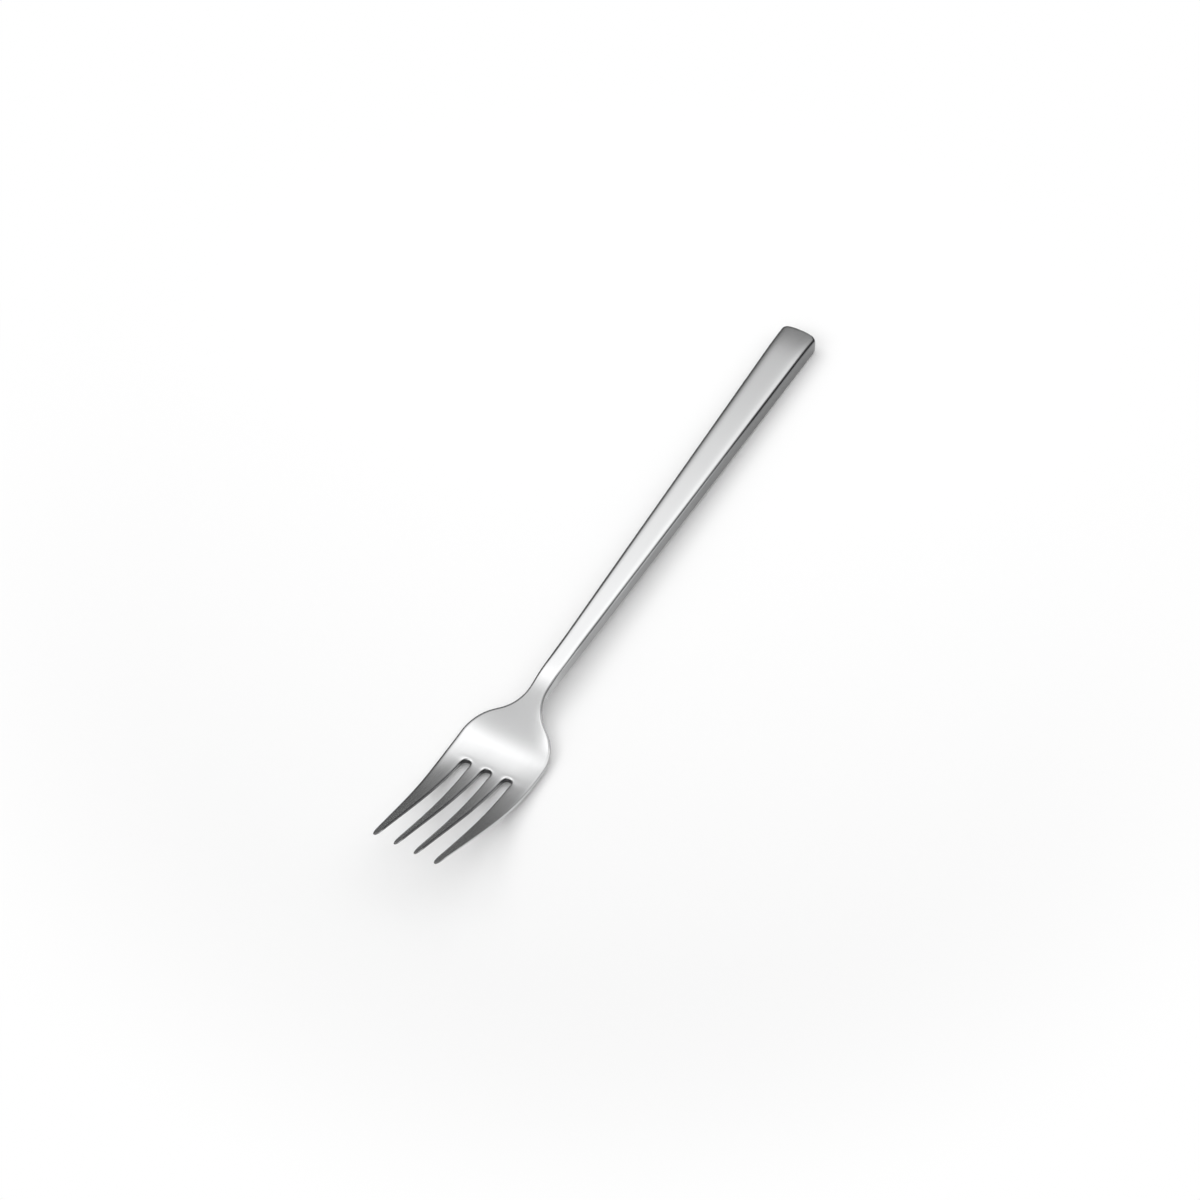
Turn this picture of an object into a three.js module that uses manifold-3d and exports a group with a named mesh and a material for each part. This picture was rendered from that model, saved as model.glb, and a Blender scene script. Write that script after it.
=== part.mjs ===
// A hollow-handle dinner fork, in millimetres: a forged head and tang, two pressed handle shells
// welded edge to edge, and the cast filler that holds the tang inside them.
//
// The fork is drawn with the handle's seam plane as z = 0, x running from the butt to the tine tips
// and y across. It is then laid face up on the plane z = 0, on its butt and on the belly of the bowl.

import * as THREE from 'three';
import { mergeVertices } from 'three/addons/utils/BufferGeometryUtils.js';
import Module from 'manifold-3d';

// Handle: a straight bar that tapers in width and thickness from the butt to the joint
const HANDLE_LENGTH = 118.8;
const BUTT_WIDTH = 9.8;
const BUTT_THICKNESS = 5.85;
const BUTT_CORNER_RADIUS = 1.2;
const BUTT_EDGE_RADIUS = 0.8;
const BUTT_DOME = 0.45;
const BUTT_ROLL = 0.75;
const BUTT_RUN = 14;
const JOINT_WIDTH = 5.1;
const JOINT_THICKNESS = 4.7;
const EDGE_RADIUS = 0.5;
const INNER_EDGE_RADIUS = 0.25;
const FACE_CROWN = 0.25;

// Handle shells and what they hold
const SHELL_WALL = 0.8;
const SEAM_GAP = 0.05;
const FILLER_CLEARANCE = 0.15;
const FILLER_WALL = 0.45;
const PLUG_LENGTH = 8;
const PLUG_CLEARANCE = 0.15;
const TANG_LENGTH = 38;
const TANG_END_SHARE = 0.65;
const TANG_CLEARANCE = 0.2;

// Head in plan: a straight shank, a flared bowl, then four tines
const SHANK_LENGTH = 18.35;
const WAIST_WIDTH = 4.75;
const FLARE_RADIUS = 10.6;
const SHOULDER_RADIUS = 11.5;
const BOWL_LENGTH = 28.6;
const BOWL_WIDTH = 24.15;
const SIDE_RADIUS = 175;
const TINE_TAPER_LENGTH = 35.6;
const TIP_SPAN = 18.4;

// Slots between the tines
const SLOT_LENGTH = 39.2;
const SLOT_ROOT_PITCH = 5.85;
const SLOT_MOUTH_PITCH = 5.6;
const SLOT_ROOT_WIDTH = 2.3;
const SLOT_MOUTH_WIDTH = 4.4;
const SLOT_SWELL = 3.9;
const SLOT_SWELL_RUN = 17;
const TIP_ROUND = 3.2;
const TIP_DRAW = 0.42;

// Head from the side: the neck dips to the belly of the bowl, and the tines rise from it
const DIP_LEAD = 6.4;
const UNDERSIDE_LAG = 0.6;
const BELLY_SETBACK = 19.4;
const BELLY_DROP = 4.36;
const BOWL_THICKNESS = 1.8;
const DISH_DEPTH = 0.5;
const TIP_RISE = 10.4;
const TIP_SLOPE = 0.44;
const TIP_THICKNESS = 0.95;
const HEAD_EDGE_RADIUS = 0.4;

// Facets, cuts and the search for the rest pose
const CORNER_STEPS = 3;
const COLUMNS = 9;
const BUTT_STEPS = 4;
const ROLL_STEPS = 5;
const HEAD_STATIONS = 64;
const TIP_STEPS = 3;
const SLOT_ARC_STEPS = 8;
const CUT_MARGIN = 2;
const REST_PASSES = 3;

// Places along the fork
const JOINT_X = HANDLE_LENGTH + SEAM_GAP;
const FLARE_X = JOINT_X + SHANK_LENGTH;
const TAPER_X = FLARE_X + BOWL_LENGTH;
const TIP_X = TAPER_X + TINE_TAPER_LENGTH;
const SLOT_ROOT_X = TIP_X - SLOT_LENGTH;
const BELLY_X = FLARE_X + BELLY_SETBACK;
const PLUG_BACK_X = HANDLE_LENGTH - PLUG_LENGTH;
const TANG_END_X = PLUG_BACK_X - TANG_LENGTH;

const { lerp, smoothstep } = THREE.MathUtils;
const wasm = await Module();
wasm.setup();

function toSolid(geometry) {
  const bare = geometry.clone();
  bare.deleteAttribute('normal');
  bare.deleteAttribute('uv');
  const merged = mergeVertices(bare);
  return new wasm.Manifold(new wasm.Mesh({
    numProp: 3,
    vertProperties: merged.attributes.position.array,
    triVerts: Uint32Array.from(merged.index.array),
  }));
}

function toGeometry(solid) {
  const { vertProperties, triVerts } = solid.getMesh();
  const geometry = new THREE.BufferGeometry();
  geometry.setAttribute('position', new THREE.BufferAttribute(vertProperties, 3));
  geometry.setIndex(new THREE.BufferAttribute(triVerts, 1));
  geometry.computeVertexNormals();
  return geometry;
}

// A closed ring across the bar: rounded edges, a crown that lowers the upper face towards its
// edges, a dish that lifts both rims, and a dome that sets the ring's sides back from its middle.
function ring({ x, halfWidth, top, bottom, radius, crown = 0, dish = 0, dome = 0 }) {
  const r = Math.min(radius, halfWidth, (top - bottom) / 2);
  const outline = [];
  const corner = (side, level, firstAngle) => {
    for (let step = 0; step <= CORNER_STEPS; step++) {
      const angle = firstAngle + (step / CORNER_STEPS) * (Math.PI / 2);
      outline.push([side * (halfWidth - r) + r * Math.cos(angle), level + r * Math.sin(angle)]);
    }
  };
  const face = (level, direction) => {
    for (let column = 1; column <= COLUMNS; column++) {
      const share = (2 * column) / (COLUMNS + 1) - 1;
      outline.push([direction * share * (halfWidth - r), level]);
    }
  };
  corner(1, top - r, 0);
  face(top, -1);
  corner(-1, top - r, Math.PI / 2);
  corner(-1, bottom + r, Math.PI);
  face(bottom, 1);
  corner(1, bottom + r, 1.5 * Math.PI);
  const middle = (top + bottom) / 2;
  return outline.map(([y, z]) => {
    const share = y / halfWidth;
    const fall = z > middle ? crown * share ** 4 : 0;
    return new THREE.Vector3(x + dome * share ** 2, y, z - fall + dish * share ** 2);
  });
}

// Skins a row of rings, butt end first, and closes both ends.
function loft(rings) {
  const count = rings[0].length;
  const points = rings.flat();
  const middleOf = (list) => {
    const box = new THREE.Box3().setFromPoints(list);
    const middle = box.getCenter(new THREE.Vector3());
    return middle.setX(box.min.x);
  };
  const first = points.push(middleOf(rings[0])) - 1;
  const last = points.push(middleOf(rings.at(-1))) - 1;
  const faces = [];
  for (let i = 0; i < count; i++) {
    const next = (i + 1) % count;
    const end = (rings.length - 1) * count;
    faces.push(first, next, i, last, end + i, end + next);
    for (let row = 0; row < end; row += count) {
      faces.push(row + i, row + next, row + count + i);
      faces.push(row + next, row + count + next, row + count + i);
    }
  }
  const geometry = new THREE.BufferGeometry().setFromPoints(points);
  geometry.setIndex(faces);
  return geometry;
}

// How far a corner of this radius draws a side in, at a distance from the end face.
function cornerInset(distance, radius) {
  const left = Math.max(radius - distance, 0);
  return radius - Math.sqrt(radius ** 2 - left ** 2);
}

// The handle's section at x, with every face moved in by inset. Near the butt the upper face rolls
// down and the section bows out in plan.
function handleSection(x, inset) {
  const along = x / HANDLE_LENGTH;
  const halfThickness = lerp(BUTT_THICKNESS, JOINT_THICKNESS, along) / 2 - inset;
  const nearButt = Math.max(1 - x / BUTT_RUN, 0);
  return {
    x,
    halfWidth: lerp(BUTT_WIDTH, JOINT_WIDTH, along) / 2 - inset,
    top: halfThickness - BUTT_ROLL * nearButt ** 3,
    bottom: -halfThickness,
    dome: BUTT_DOME * nearButt,
    radius: Math.max(EDGE_RADIUS - inset, INNER_EDGE_RADIUS),
    crown: FACE_CROWN,
  };
}

// The whole handle from its butt to frontX, with every face moved in by inset.
function handleForm(inset, frontX) {
  const cornerRadius = Math.max(BUTT_CORNER_RADIUS - inset, EDGE_RADIUS);
  const edgeRadius = Math.max(BUTT_EDGE_RADIUS - inset, EDGE_RADIUS);
  const rings = [];
  for (let step = 0; step <= BUTT_STEPS; step++) {
    const distance = cornerRadius * (1 - Math.cos((step / BUTT_STEPS) * (Math.PI / 2)));
    const section = handleSection(inset + distance, inset);
    section.halfWidth -= cornerInset(distance, cornerRadius);
    section.top -= cornerInset(distance, edgeRadius);
    section.bottom += cornerInset(distance, edgeRadius);
    rings.push(ring(section));
  }
  for (let step = 1; step <= ROLL_STEPS; step++) {
    rings.push(ring(handleSection(lerp(inset + cornerRadius, inset + BUTT_RUN, step / ROLL_STEPS), inset)));
  }
  rings.push(ring(handleSection(frontX, inset)));
  return loft(rings);
}

// The tang's section, from its root at the plug to its slimmer end, grown by a clearance.
function tangSection(x, grow) {
  const root = handleSection(PLUG_BACK_X, SHELL_WALL + FILLER_CLEARANCE + FILLER_WALL + TANG_CLEARANCE);
  const share = lerp(1, TANG_END_SHARE, (PLUG_BACK_X - x) / TANG_LENGTH);
  return {
    x,
    halfWidth: root.halfWidth * share + grow,
    top: root.top * share + grow,
    bottom: root.bottom * share - grow,
    radius: root.radius,
  };
}

// A cubic through two points with a slope at each.
function hermite(x, [x0, z0, slope0], [x1, z1, slope1]) {
  const span = x1 - x0;
  const t = (x - x0) / span;
  return (2 * t ** 3 - 3 * t ** 2 + 1) * z0 + (t ** 3 - 2 * t ** 2 + t) * span * slope0
    + (3 * t ** 2 - 2 * t ** 3) * z1 + (t ** 3 - t ** 2) * span * slope1;
}

// The head from the side: the handle's faces run on, then dip to the belly and rise to the tips.
function faceHeight(x, level, slope, bendX, bellyZ, tipZ) {
  const straight = (at) => level + slope * (at - JOINT_X);
  if (x < bendX) return straight(x);
  if (x < BELLY_X) return hermite(x, [bendX, straight(bendX), slope], [BELLY_X, bellyZ, 0]);
  return hermite(x, [BELLY_X, bellyZ, 0], [TIP_X, tipZ, TIP_SLOPE]);
}

const FACE_SLOPE = (JOINT_THICKNESS - BUTT_THICKNESS) / 2 / HANDLE_LENGTH;

function headTop(x) {
  return faceHeight(x, JOINT_THICKNESS / 2, FACE_SLOPE, FLARE_X - DIP_LEAD, -BELLY_DROP, TIP_RISE);
}

function headBottom(x) {
  return faceHeight(x, -JOINT_THICKNESS / 2, -FACE_SLOPE, FLARE_X + UNDERSIDE_LAG,
    -BELLY_DROP - BOWL_THICKNESS, TIP_RISE - TIP_THICKNESS);
}

// One side of the head in plan: the shank's taper, a hollow flare and a round shoulder that meet
// on one tangent, the bowl's side, and a wide arc into the straight side of the outer tine.
function sideOutline() {
  const waist = WAIST_WIDTH / 2;
  const widest = BOWL_WIDTH / 2;
  const radii = FLARE_RADIUS + SHOULDER_RADIUS;
  const turn = Math.acos(1 - (widest - waist) / radii);
  const shoulderX = FLARE_X + radii * Math.sin(turn);
  const taper = Math.atan2(widest - TIP_SPAN / 2, TINE_TAPER_LENGTH);
  const tangent = Math.min(SIDE_RADIUS * Math.tan(taper / 2), TAPER_X - shoulderX);
  const sideRadius = tangent / Math.tan(taper / 2);
  const up = Math.PI / 2;
  const path = new THREE.Path();
  path.moveTo(JOINT_X, JOINT_WIDTH / 2);
  path.lineTo(FLARE_X, waist);
  path.absarc(FLARE_X, waist + FLARE_RADIUS, FLARE_RADIUS, -up, turn - up, false);
  path.absarc(shoulderX, widest - SHOULDER_RADIUS, SHOULDER_RADIUS, up + turn, up, true);
  path.absarc(TAPER_X - tangent, widest - sideRadius, sideRadius, up, up - taper, true);
  path.lineTo(TIP_X - TIP_ROUND, TIP_SPAN / 2 + TIP_ROUND * Math.tan(taper));
  return path.getSpacedPoints(HEAD_STATIONS);
}

// The dish of the bowl starts at the flare, is deepest at the belly and runs out in the tine roots.
function dishDepth(x) {
  const runOutX = 2 * SLOT_ROOT_X - BELLY_X;
  return DISH_DEPTH * smoothstep(x, FLARE_X, BELLY_X) * (1 - smoothstep(x, BELLY_X, runOutX));
}

function headRing(x, halfWidth, draw) {
  const shank = 1 - smoothstep(x, JOINT_X, FLARE_X);
  return ring({
    x,
    halfWidth: halfWidth - draw,
    top: headTop(x) - draw,
    bottom: headBottom(x) + draw,
    radius: lerp(HEAD_EDGE_RADIUS, EDGE_RADIUS, shank),
    crown: FACE_CROWN * shank,
    dish: dishDepth(x),
  });
}

// Tang, plug and the whole unslotted head in one skin, from the tang's end to the tine tips.
function headBlank() {
  const plugInset = SHELL_WALL + PLUG_CLEARANCE;
  const rings = [
    ring(tangSection(TANG_END_X, 0)),
    ring(tangSection(PLUG_BACK_X, 0)),
    ring(handleSection(PLUG_BACK_X, plugInset)),
    ring(handleSection(JOINT_X, plugInset)),
  ];
  const side = sideOutline();
  for (const point of side) rings.push(headRing(point.x, point.y, 0));
  const edge = side.at(-1).y;
  for (let step = 1; step <= TIP_STEPS; step++) {
    const angle = (step / TIP_STEPS) * (Math.PI / 2);
    const x = TIP_X - TIP_ROUND * (1 - Math.sin(angle));
    rings.push(headRing(x, edge, TIP_DRAW * (1 - Math.cos(angle))));
  }
  return loft(rings);
}

// A slot in plan, the middle one or one to its left or right: a round root, sides that swell and
// then run nearly parallel, and a mouth that opens at its very end to round the tine tips.
function slotCut(place) {
  const root = SLOT_ROOT_WIDTH / 2;
  const rootX = SLOT_ROOT_X + root;
  const swellX = rootX + SLOT_SWELL_RUN;
  const roundX = TIP_X - TIP_ROUND;
  const endX = TIP_X + CUT_MARGIN;
  const centre = (x) => place * lerp(SLOT_ROOT_PITCH, SLOT_MOUTH_PITCH, (x - rootX) / (TIP_X - rootX));
  const right = (x, width) => centre(x) - width / 2;
  const left = (x, width) => centre(x) + width / 2;
  const open = SLOT_MOUTH_WIDTH + 2 * TIP_DRAW;
  const shape = new THREE.Shape();
  shape.absarc(rootX, centre(rootX), root, Math.PI / 2, 1.5 * Math.PI, false);
  shape.quadraticCurveTo(swellX, right(swellX, SLOT_SWELL), roundX, right(roundX, SLOT_MOUTH_WIDTH));
  shape.quadraticCurveTo(TIP_X, right(TIP_X, SLOT_MOUTH_WIDTH), TIP_X, right(TIP_X, open));
  shape.lineTo(endX, right(TIP_X, open));
  shape.lineTo(endX, left(TIP_X, open));
  shape.lineTo(TIP_X, left(TIP_X, open));
  shape.quadraticCurveTo(TIP_X, left(TIP_X, SLOT_MOUTH_WIDTH), roundX, left(roundX, SLOT_MOUTH_WIDTH));
  shape.quadraticCurveTo(swellX, left(swellX, SLOT_SWELL), rootX, left(rootX, SLOT_ROOT_WIDTH));
  const lowest = -BELLY_DROP - BOWL_THICKNESS - CUT_MARGIN;
  const depth = TIP_RISE + CUT_MARGIN - lowest;
  const cut = new THREE.ExtrudeGeometry(shape, { depth, bevelEnabled: false, curveSegments: SLOT_ARC_STEPS });
  return toSolid(cut.translate(0, 0, lowest));
}

function forkHead() {
  let head = toSolid(headBlank());
  for (const place of [-1, 0, 1]) head = head.subtract(slotCut(place));
  return head;
}

// Half of the hollow handle, above the seam plane for side 1 and below it for side -1.
function handleShell(side) {
  const half = new THREE.BoxGeometry(HANDLE_LENGTH + 2 * CUT_MARGIN, BUTT_WIDTH + CUT_MARGIN, BUTT_THICKNESS);
  half.translate(HANDLE_LENGTH / 2, 0, (side * (BUTT_THICKNESS + SEAM_GAP)) / 2);
  const bar = toSolid(handleForm(0, HANDLE_LENGTH));
  const hollow = toSolid(handleForm(SHELL_WALL, HANDLE_LENGTH + CUT_MARGIN));
  return bar.subtract(hollow).intersect(toSolid(half));
}

function handleFiller() {
  const core = toSolid(handleForm(SHELL_WALL + FILLER_CLEARANCE, PLUG_BACK_X - FILLER_CLEARANCE));
  const socket = loft([
    ring(tangSection(TANG_END_X - TANG_CLEARANCE, TANG_CLEARANCE)),
    ring(tangSection(PLUG_BACK_X, TANG_CLEARANCE)),
  ]);
  return core.subtract(toSolid(socket));
}

// The slope of the line under the fork that touches both the butt and the belly.
function restSlope(points) {
  const butt = points.filter((point) => point.x < BUTT_RUN);
  const belly = points.filter((point) => point.x > FLARE_X);
  let slope = 0;
  for (let pass = 0; pass < REST_PASSES; pass++) {
    const lowest = (list) => list.reduce((a, b) => (b.z - slope * b.x < a.z - slope * a.x ? b : a));
    const back = lowest(butt);
    const front = lowest(belly);
    slope = (front.z - back.z) / (front.x - back.x);
  }
  return slope;
}

const steel = new THREE.MeshStandardMaterial({ color: 0xb8b9ba, metalness: 1, roughness: 0.3 });
const cement = new THREE.MeshStandardMaterial({ color: 0x9b978e, metalness: 0, roughness: 0.95 });

function piece(name, solid, material) {
  const mesh = new THREE.Mesh(toGeometry(solid), material);
  mesh.name = name;
  return mesh;
}

function cornersOf(group) {
  return group.children.flatMap((mesh) => {
    const { position } = mesh.geometry.attributes;
    return Array.from({ length: position.count }, (_, i) => new THREE.Vector3().fromBufferAttribute(position, i));
  });
}

const fork = new THREE.Group();
fork.add(piece('fork_head', forkHead(), steel));
fork.add(piece('handle_upper_shell', handleShell(1), steel));
fork.add(piece('handle_lower_shell', handleShell(-1), steel));
fork.add(piece('handle_filler', handleFiller(), cement));

// Laid on the table, with the middle of its length over the origin
fork.rotation.y = Math.atan(restSlope(cornersOf(fork)));
const extent = new THREE.Box3().setFromObject(fork, true);
fork.position.set(-(extent.min.x + extent.max.x) / 2, 0, -extent.min.z);

const dinnerFork = new THREE.Group();
dinnerFork.add(fork);

export default dinnerFork;
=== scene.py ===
# %% [markdown]
# A dinner fork in satin steel
#
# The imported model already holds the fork's pieces at their real size: a head with its tang, two
# handle shells and the filler between them. Its surfaces are made of flat facets, which polished
# metal would show at once. This lesson models the three steel pieces again with smooth surfaces,
# gives them their finish, and lights them as on a white table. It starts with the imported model.

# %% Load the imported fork
import math

import bmesh
import bpy
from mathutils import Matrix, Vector


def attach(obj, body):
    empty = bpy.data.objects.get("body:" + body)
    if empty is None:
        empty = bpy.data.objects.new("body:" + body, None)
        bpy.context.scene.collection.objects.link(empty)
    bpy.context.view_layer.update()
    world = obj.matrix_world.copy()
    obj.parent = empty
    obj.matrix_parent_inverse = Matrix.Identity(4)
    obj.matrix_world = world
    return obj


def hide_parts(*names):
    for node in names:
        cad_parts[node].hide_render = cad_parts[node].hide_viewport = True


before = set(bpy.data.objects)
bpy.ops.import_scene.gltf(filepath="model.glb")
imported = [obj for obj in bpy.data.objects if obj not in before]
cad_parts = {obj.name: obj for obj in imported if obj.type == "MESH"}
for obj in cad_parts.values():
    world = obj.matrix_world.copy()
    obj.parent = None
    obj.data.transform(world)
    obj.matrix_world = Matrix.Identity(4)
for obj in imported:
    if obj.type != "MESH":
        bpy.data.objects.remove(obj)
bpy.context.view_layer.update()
print("Nodes in the frame:", ", ".join(sorted(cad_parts)))

# %% [markdown]
# Camera
#
# The photograph looks down on the fork from beyond its tines, through a long lens. A long lens far
# away keeps the taper of the handle honest: a short lens close by would make the tines look large.

# %% Place the camera
CAMERA_PLACE = Vector((0.63431, 0.36261, 0.95073))
CAMERA_AIM = Vector((0.00414, -0.00134, 0.00500))
CAMERA_ROLL = math.radians(-0.2)

scene = bpy.context.scene
scene.view_settings.view_transform = "Standard"

bpy.ops.object.select_all(action="DESELECT")
bpy.ops.object.camera_add(location=CAMERA_PLACE)
camera = bpy.context.object
camera.name = "table_camera"
camera.data.sensor_width = 36
camera.data.lens = 141.7
camera.rotation_euler = (CAMERA_AIM - CAMERA_PLACE).to_track_quat("-Z", "Y").to_euler()
camera.rotation_euler.rotate_axis("Z", CAMERA_ROLL)
scene.camera = camera
print("Camera distance:", round((CAMERA_PLACE - CAMERA_AIM).length, 3), "m")

# %% [markdown]
# Sizes and the side view
#
# All sizes are in millimetres, with x from the butt of the handle to the tine tips and the seam of
# the handle as height zero. From the side, the handle's two faces are straight. In the head they
# become two smooth curves: down to the belly of the bowl, then up to the tips. A cubic with a given
# slope at both ends draws each of them, the same kind of curve as a Bezier handle gives.

# %% Side view
MM = 0.001

HANDLE_END = 118.8
HEAD_START = 118.804
FLARE_START = 137.2
BELLY = 156.6
TINE_END = 201.4

BUTT_THICKNESS = 5.85
JOINT_THICKNESS = 4.7
BELLY_THICKNESS = 1.8
TIP_THICKNESS = 0.95

TOP_BEND = 130.8
UNDER_BEND = 137.8
UNDER_SLOPE = 0.022
TIP_SLOPE = 0.44
BELLY_TOP = -4.36
TIP_TOP = 10.4
FACE_SLOPE = (JOINT_THICKNESS - BUTT_THICKNESS) / 2 / HANDLE_END


def cubic(x, start, end):
    """Height at x on a cubic between two places, each given as x, height and slope."""
    span = end[0] - start[0]
    t = (x - start[0]) / span
    first = (2 * t**3 - 3 * t**2 + 1) * start[1] + (t**3 - 2 * t**2 + t) * span * start[2]
    second = (3 * t**2 - 2 * t**3) * end[1] + (t**3 - t**2) * span * end[2]
    return first + second


def side_curve(x, level, slope, bend, belly_height, tip_height):
    """Height of a face of the head: straight to the bend, down to the belly, up to the tips."""
    if x < bend:
        return level + slope * (x - HANDLE_END)
    if x < BELLY:
        return cubic(x, (bend, level + slope * (bend - HANDLE_END), slope), (BELLY, belly_height, 0))
    return cubic(x, (BELLY, belly_height, 0), (TINE_END, tip_height, TIP_SLOPE))


def head_top(x):
    return side_curve(x, JOINT_THICKNESS / 2, FACE_SLOPE, TOP_BEND, BELLY_TOP, TIP_TOP)


def head_under(x):
    belly = BELLY_TOP - BELLY_THICKNESS
    tip = TIP_TOP - TIP_THICKNESS
    return side_curve(x, -JOINT_THICKNESS / 2, UNDER_SLOPE, UNDER_BEND, belly, tip)


print("Head thickness at the flare:", round(head_top(FLARE_START) - head_under(FLARE_START), 2), "mm")

# %% [markdown]
# The view from above
#
# The side of the head is drawn with arcs, as on a workshop drawing: the straight shank, a hollow
# flare, a round shoulder that carries on from it, and a wide arc into the straight outer tine.

# %% Plan view
JOINT_HALF = 2.68
WAIST_HALF = 2.375
BOWL_HALF = 12.075
TIP_HALF = 9.2
FLARE_RADIUS = 10.6
SHOULDER_RADIUS = 11.5
SIDE_RADIUS = 175
TAPER_START = 165.8

both_radii = FLARE_RADIUS + SHOULDER_RADIUS
flare_turn = math.acos(1 - (BOWL_HALF - WAIST_HALF) / both_radii)
flare_end = FLARE_START + FLARE_RADIUS * math.sin(flare_turn)
shoulder_x = FLARE_START + both_radii * math.sin(flare_turn)
side_turn = math.atan2(BOWL_HALF - TIP_HALF, TINE_END - TAPER_START)
side_start = TAPER_START - SIDE_RADIUS * math.tan(side_turn / 2)
side_end = side_start + SIDE_RADIUS * math.sin(side_turn)


def mix(a, b, t):
    return a + (b - a) * t


def arc_height(x, centre, radius):
    return math.sqrt(radius**2 - (x - centre) ** 2)


def head_half_width(x):
    if x < FLARE_START:
        return mix(JOINT_HALF, WAIST_HALF, (x - HANDLE_END) / (FLARE_START - HANDLE_END))
    if x < flare_end:
        return WAIST_HALF + FLARE_RADIUS - arc_height(x, FLARE_START, FLARE_RADIUS)
    if x < shoulder_x:
        return BOWL_HALF - SHOULDER_RADIUS + arc_height(x, shoulder_x, SHOULDER_RADIUS)
    if x < side_start:
        return BOWL_HALF
    if x < side_end:
        return BOWL_HALF - SIDE_RADIUS + arc_height(x, side_start, SIDE_RADIUS)
    return mix(BOWL_HALF, TIP_HALF, (x - TAPER_START) / (TINE_END - TAPER_START))


print("Bowl is widest at", round(shoulder_x, 1), "to", round(side_start, 1), "mm")

# %% [markdown]
# Helpers for edit mode
#
# By hand, a modeller adds a grid, selects a row of its points and moves or widens that row. These
# helpers do the same: one adds a grid and notes the number of every point, one selects points, and
# the others move what is selected. Each sheet also gets an attribute for painted shade. It starts at
# zero and is written later on the points where shade and dark reflections are painted into the steel.

# %% Edit-mode helpers
COLUMN_PAIRS = 8


def add_sheet(name, rows):
    """Adds a flat grid in edit mode, with the number of each of its points by row and column."""
    columns = 2 * COLUMN_PAIRS + 1
    bpy.ops.object.select_all(action="DESELECT")
    bpy.ops.mesh.primitive_grid_add(
        x_subdivisions=rows - 1, y_subdivisions=columns - 1, size=1, calc_uvs=False
    )
    # The attribute holds painted shade, written later on rims, sides, slot walls and tips.
    bpy.ops.geometry.attribute_add(name="painted_shade", domain="POINT", data_type="FLOAT")
    sheet = bpy.context.object
    sheet.name = name
    sheet.data.name = name
    points = {}
    for vertex in sheet.data.vertices:
        row = round((vertex.co.x + 0.5) * (rows - 1))
        column = round((vertex.co.y + 0.5) * (columns - 1)) - COLUMN_PAIRS
        points[row, column] = vertex.index
    bpy.ops.object.mode_set(mode="EDIT")
    bpy.ops.mesh.select_mode(type="VERT")
    return sheet, points


def edit_mesh():
    mesh = bmesh.from_edit_mesh(bpy.context.object.data)
    for parts in (mesh.verts, mesh.edges, mesh.faces):
        parts.ensure_lookup_table()
    return mesh


def pick_points(numbers):
    bpy.ops.mesh.select_all(action="DESELECT")
    mesh = edit_mesh()
    for number in numbers:
        mesh.verts[number].select_set(True)
    return mesh.verts[numbers[0]].co.copy()


def place_row(points, row, x, height):
    """Brings a whole row of the sheet to its place along the fork and to its height."""
    now = pick_points([points[row, column] for column in range(-COLUMN_PAIRS, COLUMN_PAIRS + 1)])
    bpy.ops.transform.translate(value=(x * MM - now.x, 0, height * MM - now.z))


def place_pair(points, row, column, offset, move=(0, 0, 0)):
    """Spreads a point and its mirror image to this distance from the middle, then moves both."""
    now = pick_points([points[row, column], points[row, -column]])
    bpy.ops.transform.resize(value=(1, offset * MM / now.y, 1), center_override=(0, 0, 0))
    if any(move):
        bpy.ops.transform.translate(value=[MM * step for step in move])


print("Sheets have", 2 * COLUMN_PAIRS + 1, "columns")

# %% [markdown]
# Columns of the head
#
# The columns of the sheet run the whole length of the head. In the tines they follow the edges of
# the slots, so that whole strips of faces can be taken out there. In the slim shank they lie evenly.
# One column always stays just inside the rim, which leaves room to round the rim later. Where the
# outline runs aslant, that column lies further in, so that the room square to the rim stays the same.

# %% Slots and columns
SLOT_ROOT_RADIUS = 1.15
SLOT_ROOT_CENTRE = 163.35
SLOT_MIDDLE_HALF = 1.9
SLOT_MOUTH_HALF = 2.15
SLOT_MOUTH = 198.2
ROOT_PITCH = 5.85
MOUTH_PITCH = 5.6
RIM_GUARD = 0.7
GUARD_LIMIT = 2
SLOPE_STEP = 0.2
EVEN_END = SLOT_ROOT_CENTRE - 4


def slot_half_width(x):
    t = min(max((x - SLOT_ROOT_CENTRE) / (SLOT_MOUTH - SLOT_ROOT_CENTRE), 0), 1)
    return (1 - t) ** 2 * SLOT_ROOT_RADIUS + 2 * t * (1 - t) * SLOT_MIDDLE_HALF + t**2 * SLOT_MOUTH_HALF


def slot_pitch(x):
    t = max((x - SLOT_ROOT_CENTRE) / (TINE_END - SLOT_ROOT_CENTRE), 0)
    return mix(ROOT_PITCH, MOUTH_PITCH, t)


def guard_place(outline, x):
    """Place of the guard column for an outline that gives the half width at each x."""
    slope = (outline(x + SLOPE_STEP) - outline(max(x - SLOPE_STEP, 0))) / (2 * SLOPE_STEP)
    return outline(x) - RIM_GUARD * min(math.hypot(1, slope), GUARD_LIMIT)


def even_offsets(outline, x):
    """Column places that are even, up to the guard column and the rim."""
    guard = guard_place(outline, x)
    return [guard * step / (COLUMN_PAIRS - 1) for step in range(1, COLUMN_PAIRS)] + [outline(x)]


def tine_offsets(x):
    """Column places that follow the slots: edge, tine, edge, slot, edge, tine, guard and rim."""
    half = slot_half_width(x)
    pitch = slot_pitch(x)
    guard = guard_place(head_half_width, x)
    outer = (pitch + half + guard) / 2
    return [half, pitch / 2, pitch - half, pitch, pitch + half, outer, guard, head_half_width(x)]


def ease(x, start, end):
    """Zero before start, one after end, and a smooth step between them."""
    t = min(max((x - start) / (end - start), 0), 1)
    return t * t * (3 - 2 * t)


def head_offsets(x):
    blend = ease(x, FLARE_START, EVEN_END)
    pairs = zip(even_offsets(head_half_width, x), tine_offsets(x))
    return [mix(even, tine, blend) for even, tine in pairs]


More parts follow.
